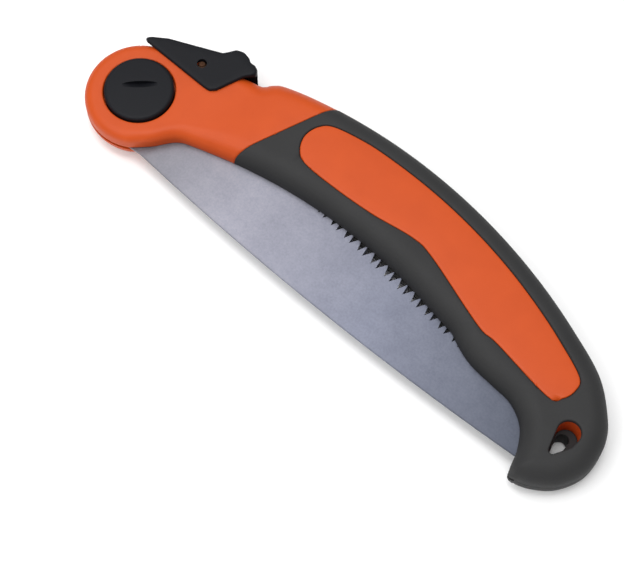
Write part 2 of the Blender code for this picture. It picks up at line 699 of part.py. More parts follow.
def make_lock(black, bright, dark_steel, tools):
    make_lever(black, tools)
    near = polar(PAWL_TIP_RADIUS, PAWL_ANGLE - PAWL_TIP_HALF_ANGLE)
    far = polar(PAWL_TIP_RADIUS, PAWL_ANGLE + PAWL_TIP_HALF_ANGLE)
    eye = [(PIN[0] + x, PIN[1] + y) for x, y in arc(PAWL_EYE, -110, 50, 2)]
    outline = [near, (-3, 20), (5.5, 21.6), *eye, (12, 28.8), (4.6, 26.9), (-6.9, 22.2), (-8.4, 20.8), far]
    pawl = prism("lock_pawl", outline, -PAWL_HALF, PAWL_HALF, dark_steel, mid_plane)
    cut(pawl, tools["cut_pin"])
    half = [(0, 9.4), (PIN_END, 9.4), (PIN_END, 8.9), (PIN_RADIUS, 8.7)]
    turned("lever_pin", half + [(radius, -z) for radius, z in reversed(half)], *PIN, bright, steps=20)
    stop = polar(STOP_DISTANCE, STOP_ANGLE)
    rod("stop_pin", STOP_RADIUS, -5, 5, *stop, material=bright, steps=16)


def make_spring(bright):
    low, high = SPRING_SPAN
    per_turn = 10
    count = SPRING_TURNS * per_turn
    curve = bpy.data.curves.new("lock_spring", "CURVE")
    curve.dimensions = "3D"
    curve.bevel_depth = SPRING_WIRE * MM
    curve.bevel_resolution = 1
    curve.use_fill_caps = True
    spline = curve.splines.new("POLY")
    spline.points.add(count)
    for n, point in enumerate(spline.points):
        turn = 2 * math.pi * n / per_turn
        y = low + (high - low) * n / count
        x, z = polar(SPRING_RADIUS, math.degrees(turn))
        point.co = (x * MM, (y - low) * MM, z * MM, 1)
    curve.materials.append(bright)
    spring = bpy.data.objects.new("lock_spring", curve)
    parts.objects.link(spring)
    spring.parent = mid_plane
    spring.location = (SPRING_X * MM, low * MM, 0)


# ---------------------------------------------------------------- fasteners

def make_fasteners(bright, rubber):
    for n, (x, y) in enumerate(SCREWS, 1):
        seat = SCREW_SEAT - GAP
        profile = ((0, 6.0), (SCREW_SHANK, 6.0), (SCREW_SHANK, seat), (SCREW_HEAD, seat), (SCREW_HEAD, -9.2),
                   (0, -9.2))
        turned(f"handle_screw_{n}", profile, x, y, bright, steps=16)
    left, right, low, high = REST
    prism("blade_rest", box_outline(left, right, low, high), -CHANNEL_HALF + GAP, CHANNEL_HALF - GAP, rubber)


clear_scene()
parts = new_collection("folding_pruning_saw", False)
cutters = new_collection("cutters", True)
mid_plane = new_empty("mid_plane", None, 0, 0, MID_Z)
blade_axis = new_empty("blade_axis", mid_plane, 0, 0, 0)
screw_axis = new_empty("screw_axis", mid_plane, 0, 0, 0)

orange_plastic = principled("orange_plastic", ORANGE, 0.45)
soft_grip = principled("soft_grip", SOFT_GREY, 0.7)
black_plastic = principled("black_plastic", BLACK, 0.45)
blade_steel = principled("blade_steel", STEEL, 0.4, 1.0)
zinc_steel = principled("zinc_steel", BRIGHT, 0.35, 1.0)
bumper = principled("bumper_rubber", RUBBER, 0.8)

shared = make_cutters()
for half_word, half_side in (("front", 1), ("rear", -1)):
    make_handle_half(half_word, half_side, shared, orange_plastic, soft_grip)
make_blade(blade_steel)
make_pivot(black_plastic, zinc_steel, shared)
make_lock(black_plastic, zinc_steel, blade_steel, shared)
make_spring(zinc_steel)
make_fasteners(zinc_steel, bumper)
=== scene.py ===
"""Looks of the folding pruning saw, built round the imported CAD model.

Lengths in the helpers are millimetres and heights count from the blade's mid-plane, as in the CAD part.
"""
import json
import math

import bmesh
import bpy
import numpy as np
from mathutils import Matrix, Vector
from mathutils.geometry import delaunay_2d_cdt


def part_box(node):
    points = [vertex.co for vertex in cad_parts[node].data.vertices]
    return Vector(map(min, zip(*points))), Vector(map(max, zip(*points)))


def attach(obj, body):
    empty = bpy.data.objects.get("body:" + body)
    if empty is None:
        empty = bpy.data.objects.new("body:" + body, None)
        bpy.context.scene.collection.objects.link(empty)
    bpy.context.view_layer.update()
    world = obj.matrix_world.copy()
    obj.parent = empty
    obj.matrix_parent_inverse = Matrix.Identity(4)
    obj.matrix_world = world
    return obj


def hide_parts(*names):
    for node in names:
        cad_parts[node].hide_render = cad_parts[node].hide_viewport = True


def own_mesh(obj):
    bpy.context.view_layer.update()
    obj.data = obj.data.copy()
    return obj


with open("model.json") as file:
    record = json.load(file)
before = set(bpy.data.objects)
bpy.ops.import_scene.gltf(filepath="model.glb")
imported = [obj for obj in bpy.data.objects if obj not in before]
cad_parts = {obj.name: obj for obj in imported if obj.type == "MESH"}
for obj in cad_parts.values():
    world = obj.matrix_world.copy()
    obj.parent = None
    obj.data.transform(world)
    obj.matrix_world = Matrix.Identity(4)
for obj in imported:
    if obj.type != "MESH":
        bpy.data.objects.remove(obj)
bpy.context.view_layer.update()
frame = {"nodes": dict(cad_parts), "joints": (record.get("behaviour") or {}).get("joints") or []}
joints = {joint["name"]: joint for joint in frame["joints"]}

MM = 0.001
MID_Z = joints["blade_fold"]["pos_m"][2] / MM
PIN = (joints["lever_press"]["pos_m"][0] / MM, joints["lever_press"]["pos_m"][1] / MM)
LEVER_SWING = joints["lever_press"]["range_deg"]
OPEN_ANGLE = joints["blade_fold"]["range_deg"][1]

# Handle
SPLIT = 0.15                         # half the gap between the two shells
GRIP_HALF = 10.5
HEAD_HALF = 8.2
NECK_HALF = 10.1
NECK_X = (26.0, 54.0)                # where the head's half height grows into the neck's
HEAD_RADIUS = 22.0
HEAD_ARC = (113.0, 301.0)            # degrees
EDGE_ROUND = 8.0
HEAD_ROUND = {1: 4.0, -1: 7.0}       # front and rear
ROUND_X = (16.0, 44.0)               # where the head's rounding grows into the grip's
SKIN = 2.0                           # thickness of the soft grip over its core
FINE = 1.3                           # spacing of the points along an outline
ROUND_STEPS = 10
JUMP = 0.05                          # half width of a step in a height field
BELLY_FRONT = ((18, -12.5), (24, -5))
BELLY_TOP = (102.5, 10.1)            # highest point of the belly's long arch
BELLY_RADIUS = 221.0
BELLY_ARCH_X = (31.0, 150.0)
BELLY_ARCH_POINTS = 7
BELLY_REAR = ((157, 3.8), (163, 1), (171, -1.5), (182, -2.5), (191, -3.5), (199, -8), (204, -15.5),
              (206.8, -24))
HOOK = ((208.2, -26), (210.4, -25.6))
POMMEL_LOW = (206.8, -3.0, 22.5)     # centre and radius of its lower and its upper circle
POMMEL_HIGH = (203.3, -3.0, 26.0)
POMMEL_LOW_ARC = (-65, -20, 9)       # degrees at both ends of an arc, then the spacing of its points
POMMEL_HIGH_ARC = (0, 45, 10)
BACK_TOP = (104.5, 50.1)
BACK_RADII = (225.0, 240.0)          # before and behind its highest point
BACK_X = (210.0, 42.0)
BACK_POINTS = 10
CROWN = ((36.8, 38.1), (34.4, 35.1), (30, 33.8), (20, 30.6), (10, 27.4), (0, 24), (-6, 22.2))
SPACE_X = (-60, 260)                 # a frame that reaches past the handle on every side
SPACE_Y = (-40, 70)

# Soft grip
GRIP_FRONT = ((71, 62), (41.4, -12))
WINDOW_RIM = 8.5                     # width of the soft strip between the window and the back
WINDOW_BACK_X = (78, 196)            # the strip keeps that width between these
WINDOW_STEP = 14.0
WINDOW_SPLIT_Y = 20.0                # between its back edge and its low edge
WINDOW_FRONT = (73.5, 28.0, 10.3)    # centre and radius of the circles at its two ends
WINDOW_REAR = (199.2, 12.6, 8.3)
WINDOW_FRONT_ARC = (110, 260, 7)
WINDOW_REAR_ARC = (-80, 45, 6)
WINDOW_LOW = ((88, 17.5), (105, 18.5), (123, 21), (134, 19.5), (164, 9.5), (174, 8.5))
LANYARD = ((215.4, -1.1, 4.5), (217.2, -4.4, 2.6), (214.9, -10.6, 1.3))   # circles in its corners
SHADE_LINING = (0.3, 1.9)                  # the rear grip lines the lanyard hole between these depths, a dark lining that is painted shade for the hole's dark depth
# moves the lining's deep ring inward, so the painted shade narrows the hole at the rear and hides the floor
SHADE_LINING_SHIFT = (-0.96, -0.84)
GROOVE = 0.14                        # between the soft grip and the hard shell
GRIP_LIP = 0.7                       # radius of the grip's own edges
LAND_LIP = 0.45
LAND_HALF = 10.2
LAND_CROWN = 0.25                    # how much higher the window's middle is than its edge
LAND_CROWN_REACH = 3.0
LAND_RINGS = (1.2, 2.4, 4.0)         # distances from its edge at which it gets rings of points
LAND_BED = 0.4                       # height of the land's underside over the channel

# Channel between the shells
CHANNEL_HALF = 0.9
CHANNEL_CLEAR = 1.2
CHANNEL_ROOM = 4.0
CHANNEL_FALL_X = 194.0               # behind this the channel narrows to the blade's tip
CHANNEL_STEP = 1.5                   # spacing of the points along its sides
CHANNEL_LOW_Y = -80
TIP_SWEEP = (-18, -4.8, 4)           # degrees at both ends of the tip's arc, then the spacing
TIP_REAR_ROOM = 1
REST_ROOM = 0.3
HEAD_SLOT_X = 18.6                   # up to here, from the head's end, the channel is open
HEAD_SLOT_Y = 45                     # to this y, which is past the head's back
PAWL_ROOM = 1.55                     # half height of the room for the pawl
PAWL_ROOM_CORNERS = ((19.1, 14), (19.1, 45), (-14, 45), (-14, 14))
WASHER_ROOM = (9.3, 1.9)             # radius and half height of the rooms round the pivot
SLEEVE_ROOM = (4.3, 2.9)
STOP_ROOM = (0.3, 5.3)               # gap round the stop pin and half height of its hole
BOLT_HOLE = 3.3
PIN_HOLE = 2.0

# Blade
BLADE_HALF = 0.6
BLADE_EYE = 4.3
SPINE_ENDS_Y = -17.8
SPINE_SAG = 3.7
SPINE_X = 14.0
SPINE_POINTS = 90
TIP_X = 210.0
TIP_REAR = (201.0, -3.6)
TOOTH_PITCH = 3.66
TOOTH_DEPTH = 4.4
TOOTH_COUNT = 46
TOOTH_LEAN = 0.35
TOOTH_TIP = 0.15                     # half length of the flat on a tooth's tip
FIRST_GULLET = (30.7, 14.2)
TOOTH_SLOPE = -0.1015
GRIND_SIDE = 0.41                    # the grinding wheel leans, so every second tooth is wide in front
GRIND_DROP = 0.5
CHAMFER = (0.24, 0.22)               # width and height of the bevel along the spine
HEEL_X = (29.5, 19)
HEEL_Y = 18.0
HEEL_ANGLE = 78.0                    # where the heel meets the round of the tang
TANG_RADIUS = 16.5
TANG_STEP = 21.2                     # how far from the pivot the step at the stop pin reaches
NOTCH_ANGLE = 106.3
NOTCH_HALF_ANGLE = 8.3
NOTCH_TAPER = 0.6                    # degrees that each side of a notch leans
NOTCH_FLOOR = 14.4
STOP_ANGLE = 121.0
STOP_DISTANCE = 18.6
STOP_RADIUS = 1.4
STOP_TOUCH = 0.35                    # from the stop pin to the tang's step when the blade is open

# Lock lever
LEVER_HALF = 10.0
LEVER_EDGE = 1.0
LEVER_TOP = ((29.4, 33.2), (30.6, 34.8), (29.8, 37), (27.8, 37.9), (25.6, 37.7), (23.6, 39), (20.4, 39.6),
             (17.4, 38.4), (15.7, 35.8), (14.3, 33.8), (4.6, 29.5), (-6.8, 24.5), (-12.2, 20.8))
LEVER_LOW = ((-13.6, 19.4), (-13.5, 18.4), (-12.2, 17.9), (-10, 17.8), (18.8, 17.4), (21.4, 17.7),
             (23.4, 19.6), (27, 29.2), (27.8, 31.2))
LEVER_STEP = 0.9
LEVER_CLEAR = 0.45                   # from the lever's hollow to the handle, at every angle of the lever
LEVER_REACH_X = 46                   # the hollow follows the handle up to here
LEVER_SLOT = ((-11.6, 10), (17.2, 10), (17.2, 31.2), (4.6, 27.7), (-6.8, 22.9), (-11.6, 19.6))
SPRING_WIRE = 0.25
SPRING_TURNS = 5
SPRING_STEPS = 30                    # to a turn
SPRING_SIDES = 12
SPRING_WELL = (2.35, 0.4)            # half width and half height of its well, and the gap at its foot

# Pivot
RECESS_RADIUS = 14.4
RECESS_FLOOR = 4.6
RECESS_LIP = 0.6
KNOB_RADIUS = 13.9
KNOB_TOP = 10.35
KNOB_DOME = 0.35                     # how much higher its middle is than the start of its rim
KNOB_RIM = (1.4, 1.2)                # width and height of the rim's rounding
CAP_RIM = 1.3
CAP_RIM_Z = -9.2
CAP_FOOT = 4.9                       # half height at which the knob and the rear cap begin
SLOT_HALF = (7.35, 1.45)
SLOT_ANGLE = 42.8
SLOT_CENTRE = (-0.65, 1.45)
SLOT_DEPTH = 2.0
SLOT_LEAST = 0.02                    # its depth where the floor runs out
CUT_HALF = 14                        # half height of a tool that cuts all the way through

# Screws
SCREWS = ((40, 28), (92, 31), (148, 27), (202, 14))
SCREW_HOLE = 1.7
SCREW_SINK = 3.3                     # radius of the sink for a screw's head
SCREW_SEAT = (7.6, 7.4)              # half height of its floor in the shell and in the core

# Meshes
SMOOTH = 16                          # pieces that a smooth run makes of each stretch
THINNEST = 0.02                      # least height of a solid
HAIR = 0.01                          # slack for the points that lie on an edge
OVERTAKEN = 0.97                     # share of its distance that a moved point has to keep
RING_SHARE = 0.9                     # the same for a ring, near the other lines
RING_LEAST = 0.04                    # between the points of one ring and of the last ones
GRID_ROOM = (0.55, 0.45)             # share of the grid's spacing kept free beside lines and rings


# ---------------------------------------------------------------- outlines

def polar(radius, degrees):
    return (radius * math.cos(math.radians(degrees)), radius * math.sin(math.radians(degrees)))


def arc(radius, start, end, step=FINE):
    count = max(2, round(abs(math.radians(end - start)) * radius / step))
    return [polar(radius, start + (end - start) * i / count) for i in range(count + 1)]


def circle(x, y, radius, count=48):
    return [(x + radius * math.cos(2 * math.pi * n / count), y + radius * math.sin(2 * math.pi * n / count))
            for n in range(count)]


def resample(points, step):
    """Points evenly spaced along an open run, both of its ends kept."""
    points = np.array(points, float)
    along = np.concatenate([[0], np.cumsum(np.linalg.norm(np.diff(points, axis=0), axis=1))])
    count = max(1, round(along[-1] / step))
    wanted = np.linspace(0, along[-1], count + 1)
    return [tuple(row) for row in np.column_stack([np.interp(wanted, along, points[:, k]) for k in (0, 1)])]


def catmull(points):
    """A smooth run through every point."""
    points = np.array(points, float)
    padded = np.vstack([2 * points[0] - points[1], points, 2 * points[-1] - points[-2]])
    run = []
    for a, b, c, d in zip(padded, padded[1:], padded[2:], padded[3:]):
        for t in np.arange(SMOOTH) / SMOOTH:
            run.append(0.5 * (2 * b + (c - a) * t + (2 * a - 5 * b + 4 * c - d) * t ** 2
                              + (3 * b - a - 3 * c + d) * t ** 3))
    return [tuple(point) for point in run] + [tuple(points[-1])]


def closed_smooth(points, step):
    """A smooth loop through every point, its first point not repeated."""
    around = [*points[-2:], *points, *points[:2]]
    return resample(catmull(around)[2 * SMOOTH:-SMOOTH], step)[:-1]


def band(circles, step):
    """The tight loop round a few circles, each an x, a y and a radius."""
    run = []
    for turn in np.radians(np.arange(0, 360, 3)):
        way = (math.cos(turn), math.sin(turn))
        x, y, radius = max(circles, key=lambda c: c[0] * way[0] + c[1] * way[1] + c[2])
        run.append((x + radius * way[0], y + radius * way[1]))
    return resample([*run, run[0]], step)[:-1]


def arched(top, radius, x):
    """Height at x of a wide circle, from its highest point."""
    return top[1] - radius + math.sqrt(radius ** 2 - (x - top[0]) ** 2)


def round_part(circle, start, end, step):
    """Part of a circle given by its centre and radius."""
    x, y, radius = circle
    return [(x + u, y + v) for u, v in arc(radius, start, end, step)]


def handle_outline(step=FINE):
    head = arc(HEAD_RADIUS, *HEAD_ARC, step)
    belly = [(x, arched(BELLY_TOP, BELLY_RADIUS, x)) for x in np.linspace(*BELLY_ARCH_X, BELLY_ARCH_POINTS)]
    pommel = round_part(POMMEL_LOW, *POMMEL_LOW_ARC) + round_part(POMMEL_HIGH, *POMMEL_HIGH_ARC)
    back = [(x, arched(BACK_TOP, BACK_RADII[int(x > BACK_TOP[0])], x))
            for x in np.linspace(*BACK_X, BACK_POINTS)]
    rest = catmull([head[-2], head[-1], *BELLY_FRONT, *belly, *BELLY_REAR, *HOOK, *pommel, *back, *CROWN,
                    head[0], head[1]])
    return head[1:-1] + resample(rest[SMOOTH:-SMOOTH], step)


def sided(corners, step):
    """A polygon with points along its sides."""
    return [point for start, end in zip(corners, [*corners[1:], corners[0]])
            for point in resample([start, end], step)[:-1]]


def segments(loop, closed=True):
    start = np.array(loop, float)
    end = np.roll(start, -1, axis=0)
    return (start, end - start) if closed else (start[:-1], (end - start)[:-1])


def distance(points, *stretches):
    """How far each point lies from the nearest of the given stretches."""
    points = np.array(points, float).reshape(-1, 2)
    start = np.vstack([s[0] for s in stretches])
    run = np.vstack([s[1] for s in stretches])
    length = (run ** 2).sum(1)
    nearest = np.empty(len(points))
    for first in range(0, len(points), 1500):
        some = points[first:first + 1500, None, :] - start
        along = np.clip((some * run).sum(2) / length, 0, 1)
        nearest[first:first + 1500] = np.linalg.norm(some - along[..., None] * run, axis=2).min(1)
    return nearest


def inside(points, loop):
    """Which points a closed loop encloses."""
    points = np.array(points, float).reshape(-1, 2)
    a = np.array(loop, float)
    b = np.roll(a, -1, axis=0)
    x, y = points[:, :1], points[:, 1:]
    crossing = (a[:, 1] > y) != (b[:, 1] > y)
    rise = np.where(b[:, 1] == a[:, 1], 1e-12, b[:, 1] - a[:, 1])
    at = (b[:, 0] - a[:, 0]) * (y - a[:, 1]) / rise + a[:, 0]
    return (crossing & (x < at)).sum(1) % 2 == 1


def within(points, loop):
    """Which points a loop encloses or passes through."""
    return inside(points, loop) | (distance(points, segments(loop)) < 0.2 * JUMP)


def from_point(points, at=(0, 0)):
    return np.hypot(*(points - at).T)


def near_screws(points, reach):
    near = np.zeros(len(points), bool)
    for at in SCREWS:
        near |= from_point(points, at) < reach
    return near


def offset(loop, amount, closed=True):
    """A line moved to its left, without the points that a nearer stretch has overtaken."""
    points = np.array(loop, float)
    run = np.roll(points, -1, axis=0) - np.roll(points, 1, axis=0)
    if not closed:
        run[0], run[-1] = points[1] - points[0], points[-1] - points[-2]
    left = np.column_stack([-run[:, 1], run[:, 0]]) / np.linalg.norm(run, axis=1)[:, None]
    moved = points + left * amount
    return moved[distance(moved, segments(points, closed)) > OVERTAKEN * abs(amount)]


def thinned(points, least):
    kept = []
    for point in points:
        if not kept or math.dist(point, kept[-1]) > least:
            kept.append(tuple(point))
    if math.dist(kept[0], kept[-1]) < least:
        kept.pop()
    return kept


def turned_left(loop):
    """The loop anticlockwise."""
    a = np.array(loop, float)
    b = np.roll(a, -1, axis=0)
    return loop if (a[:, 0] * b[:, 1] - b[:, 0] * a[:, 1]).sum() > 0 else loop[::-1]


# ---------------------------------------------------------------- height fields

class Plan:
    """A triangulated plan whose edges follow every loop and line given to it."""

    def __init__(self, loops, lines=(), rings=(), grid=4.0, room=0.22):
        points, edges, stretches = [], [], []
        for loop in loops:
            first = len(points)
            points += [tuple(p) for p in loop]
            edges += [(first + i, first + (i + 1) % len(loop)) for i in range(len(loop))]
            stretches.append(segments(loop))
        for line in lines:
            first = len(points)
            points += [tuple(p) for p in line]
            edges += [(first + i, first + i + 1) for i in range(len(line) - 1)]
            stretches.append(segments(line, False))
        kept = [np.empty((0, 2))]
        for source, closed, amounts in rings:
            for amount in amounts:
                moved = offset(source, amount, closed)
                apart = distance(moved, *stretches)
                moved = moved[(apart > RING_SHARE * abs(amount)) | (apart > room)]
                before = np.vstack(kept[-3:])
                if len(before) and len(moved):
                    gap = np.sqrt(((moved[:, None] - before[None]) ** 2).sum(2)).min(1)
                    moved = moved[gap > RING_LEAST]
                kept.append(moved)
        ringed = np.vstack(kept)
        everything = np.array(points, float)
        low, high = everything.min(0), everything.max(0)
        columns, rows = np.meshgrid(np.arange(low[0], high[0], grid), np.arange(low[1], high[1], grid))
        columns = columns + (np.arange(len(columns)) % 2)[:, None] * grid / 2
        inner = np.column_stack([columns.ravel(), rows.ravel()])
        inner = inner[distance(inner, *stretches) > GRID_ROOM[0] * grid]
        if len(ringed):
            inner = inner[[from_point(ringed, p).min() > GRID_ROOM[1] * grid for p in inner]]
        everything = np.vstack([everything, ringed, inner])
        flat, _, faces, _, _, _ = delaunay_2d_cdt([Vector(p) for p in everything], edges, [], 0, 1e-5)
        self.xy = np.array([tuple(v) for v in flat])
        self.faces = np.array([face for face in faces if len(face) == 3])
        self.middle = self.xy[self.faces].mean(1)


def solid(name, plan, keep, top, bottom, side=1, smooth_angle=32, top_move=0.0, low_move=0.0):
    """A closed solid over some triangles of a plan, between two arrays of heights."""
    faces = plan.faces[keep]
    used, faces = np.unique(faces, return_inverse=True)
    faces = faces.reshape(-1, 3)
    xy, count = plan.xy[used], len(used)
    high, low = np.maximum(top[used], bottom[used] + THINNEST), bottom[used]
    area = np.cross(xy[faces[:, 1]] - xy[faces[:, 0]], xy[faces[:, 2]] - xy[faces[:, 0]])
    faces = np.where(area[:, None] > 0, faces, faces[:, ::-1])
    ends = np.vstack([faces[:, [0, 1]], faces[:, [1, 2]], faces[:, [2, 0]]])
    known = {(a, b) for a, b in ends.tolist()}
    rim = [(a, b) for a, b in ends.tolist() if (b, a) not in known]
    top_xy, low_xy = [xy + (move[used] if isinstance(move, np.ndarray) else move)
                      for move in (top_move, low_move)]
    verts = np.vstack([np.column_stack([top_xy, side * high]), np.column_stack([low_xy, side * low])])
    polygons = faces.tolist() + (faces[:, ::-1] + count).tolist()
    polygons += [(b, a, a + count, b + count) for a, b in rim]
    if side < 0:
        polygons = [tuple(reversed(p)) for p in polygons]
    mesh = bpy.data.meshes.new(name)
    verts[:, 2] += MID_Z
    mesh.from_pydata((verts * MM).tolist(), [], polygons)
    return shaded(mesh, smooth_angle)


def shaded(mesh, smooth_angle=32):
    mesh.validate()
    mesh.update()
    mesh.shade_smooth()
    mesh.set_sharp_from_angle(angle=math.radians(smooth_angle))
    return mesh


def placed(name, data):
    """A new object in the scene."""
    obj = bpy.data.objects.new(name, data)
    bpy.context.scene.collection.objects.link(obj)
    return obj


def add(name, mesh, material, body, slot, *nodes):
    """A visible piece on its body, which takes the place of the CAD nodes named last."""
    obj = placed(name, mesh)
    mesh.materials.clear()
    mesh.materials.append(material)
    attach(obj, body)
    if nodes:
        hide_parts(*nodes)
    return obj


def lip(away, radius):
    """How far a surface drops towards its edge."""
    short = np.clip(radius - away, 0, radius)
    return radius - np.sqrt(np.maximum(radius ** 2 - short ** 2, 0))


def round_over(half, radius, away):
    return half - lip(away, radius)


def between(x, reach, before, after):
    """A value that passes smoothly from one to another over a reach of x."""
    share = np.clip((x - reach[0]) / (reach[1] - reach[0]), 0, 1)
    return before + (after - before) * share * share * (3 - 2 * share)


def shell_half(x):
    return between(x, NECK_X, HEAD_HALF, NECK_HALF)


def edge_round(x, side):
    return between(x, ROUND_X, HEAD_ROUND[side], EDGE_ROUND)


# ---------------------------------------------------------------- node materials

class Nodes:
    """A material's node tree, written as short calls."""

    def __init__(self, name, **inputs):
        self.material = bpy.data.materials.new(name)
        self.material.use_nodes = True
        self.tree = self.material.node_tree
        self.shader = self.tree.nodes["Principled BSDF"]
        self.where = self.add("ShaderNodeTexCoord").outputs["Object"]
        for key, value in inputs.items():
            self.put(self.shader.inputs[key.replace("_", " ")], value)

    def add(self, kind, **settings):
        node = self.tree.nodes.new(kind)
        for key, value in settings.items():
            setattr(node, key, value)
        return node

    def put(self, socket, value):
        if isinstance(value, bpy.types.NodeSocket):
            self.tree.links.new(value, socket)
        else:
            socket.default_value = value

    def math(self, operation, a, b=0.0, c=0.0):
        node = self.add("ShaderNodeMath", operation=operation)
        for socket, value in zip(node.inputs, (a, b, c)):
            self.put(socket, value)
        return node.outputs[0]

    def scaled(self, x, y, z):
        node = self.add("ShaderNodeMapping")
        self.put(node.inputs["Vector"], self.where)
        node.inputs["Scale"].default_value = (x, y, z)
        return node.outputs[0]

    def noise(self, scale, detail=3.0, roughness=0.5, where=None):
        node = self.add("ShaderNodeTexNoise")
        self.put(node.inputs["Vector"], where or self.where)
        node.inputs["Scale"].default_value = scale
        node.inputs["Detail"].default_value = detail
        node.inputs["Roughness"].default_value = roughness
        return node.outputs["Fac"]

    def spread(self, value, low, high, from_low=0.3, from_high=0.7):
        node = self.add("ShaderNodeMapRange")
        self.put(node.inputs["Value"], value)
        node.inputs["From Min"].default_value = from_low
        node.inputs["From Max"].default_value = from_high
        node.inputs["To Min"].default_value = low
        node.inputs["To Max"].default_value = high
        return node.outputs["Result"]

    def mix(self, share, a, b):
        node = self.add("ShaderNodeMix", data_type="RGBA")
        self.put(node.inputs[0], share)
        for socket, value in ((node.inputs[6], a), (node.inputs[7], b)):
            self.put(socket, (*value, 1) if isinstance(value, tuple) and len(value) == 3 else value)
        return node.outputs[2]

    def axis(self, name):
        node = self.add("ShaderNodeSeparateXYZ")
        self.put(node.inputs[0], self.where)
        return node.outputs[name]

    def bump(self, height, strength, distance_mm):
        node = self.add("ShaderNodeBump")
        node.inputs["Strength"].default_value = strength
        node.inputs["Distance"].default_value = distance_mm * MM
        self.put(node.inputs["Height"], height)
        self.put(self.shader.inputs["Normal"], node.outputs[0])

    def colour(self, value):
        self.put(self.shader.inputs["Base Color"], (*value, 1) if isinstance(value, tuple) else value)


def orange_plastic():
    m = Nodes("orange_plastic", Roughness=0.46, Specular_IOR_Level=0.25)
    cloudy = m.spread(m.noise(90, 4), 0, 1)
    m.colour(m.mix(cloudy, (0.495, 0.064, 0.006), (0.465, 0.058, 0.005)))
    grain = m.noise(3200, 3, 0.6)
    m.put(m.shader.inputs["Roughness"], m.spread(grain, 0.42, 0.54))
    m.bump(grain, 0.25, 0.03)
    return m.material


def soft_grey():
    m = Nodes("soft_grey", Roughness=0.72, Specular_IOR_Level=0.35)
    speckle = m.noise(1500, 4, 0.7)
    cloudy = m.spread(m.noise(60, 3), 0, 1)
    base = m.mix(cloudy, (0.018, 0.018, 0.0185), (0.0145, 0.0145, 0.015))
    m.colour(m.mix(m.spread(speckle, 0, 0.35), base, (0.032, 0.032, 0.033)))
    m.put(m.shader.inputs["Roughness"], m.spread(speckle, 0.62, 0.8))
    m.bump(m.noise(2600, 3, 0.6), 0.35, 0.04)
    return m.material


def black_plastic():
    m = Nodes("black_plastic", Roughness=0.5, Specular_IOR_Level=0.16)
    speckle = m.noise(1800, 3, 0.6)
    m.colour(m.mix(m.spread(speckle, 0, 1), (0.0038, 0.0042, 0.006), (0.0068, 0.0072, 0.0098)))
    m.put(m.shader.inputs["Roughness"], m.spread(speckle, 0.44, 0.6))
    m.bump(m.noise(2400, 3, 0.6), 0.25, 0.03)
    return m.material


def blade_steel():
    m = Nodes("blade_steel", Metallic=0.75, Roughness=0.42)
    brushed = m.noise(1.0, 4, 0.6, m.scaled(300, 1500, 400))
    mottled = m.math("ADD", m.math("MULTIPLY", m.noise(1100, 4, 0.6), 0.65),
                     m.math("MULTIPLY", m.noise(260, 3), 0.35))
    # Painted shading: the colour darkens from the pivot end to the tip, standing in for the lamps' reflection
    # fading along the blade.
    near = m.mix(m.spread(m.axis("X"), 0, 1, 0.02, 0.06), (0.166, 0.164, 0.186), (0.239, 0.236, 0.278))
    middle = m.mix(m.spread(m.axis("X"), 0, 1, 0.06, 0.13), near, (0.157, 0.166, 0.214))
    base = m.mix(m.spread(m.axis("X"), 0, 1, 0.13, 0.20), middle, (0.072, 0.080, 0.106))
    patchy = m.math("ADD", m.math("MULTIPLY", mottled, 0.75), m.math("MULTIPLY", m.noise(70, 3), 0.25))
    dark = m.mix(m.spread(patchy, 0, 1, 0.35, 0.65), (0.80, 0.81, 0.83), (1.20, 1.20, 1.18))
    tone = m.add("ShaderNodeMix", data_type="RGBA", blend_type="MULTIPLY")
    tone.inputs[0].default_value = 1.0
    m.put(tone.inputs[6], base)
    m.put(tone.inputs[7], dark)
    m.colour(tone.outputs[2])
    m.put(m.shader.inputs["Roughness"], m.spread(mottled, 0.38, 0.52))
    m.bump(m.math("ADD", m.math("MULTIPLY", brushed, 0.5), mottled), 0.15, 0.02)
    return m.material


def plated_steel(name, colour, roughness):
    m = Nodes(name, Metallic=1.0, Roughness=roughness)
    wear = m.noise(900, 4, 0.6)
    m.colour(m.mix(m.spread(wear, 0, 1), colour, tuple(0.75 * c for c in colour)))
    m.put(m.shader.inputs["Roughness"], m.spread(wear, roughness - 0.06, roughness + 0.1))
    m.bump(wear, 0.15, 0.02)
    return m.material


def rubber():
    m = Nodes("bumper_rubber", Roughness=0.85)
    grain = m.noise(1400, 3, 0.6)
    m.colour(m.mix(m.spread(grain, 0, 1), (0.02, 0.02, 0.02), (0.035, 0.035, 0.035)))
    m.bump(grain, 0.3, 0.04)
    return m.material


ORANGE = orange_plastic()
GREY = soft_grey()
BLACK = black_plastic()
STEEL = blade_steel()
ZINC = plated_steel("zinc_steel", (0.62, 0.62, 0.63), 0.34)
LOCK_STEEL = plated_steel("lock_steel", (0.30, 0.30, 0.32), 0.4)
BRONZE = plated_steel("pin_bronze", (0.060, 0.030, 0.018), 0.5)
RUBBER = rubber()


# ---------------------------------------------------------------- handle

def tooth_line(x):
    return FIRST_GULLET[1] + TOOTH_SLOPE * (x - FIRST_GULLET[0])


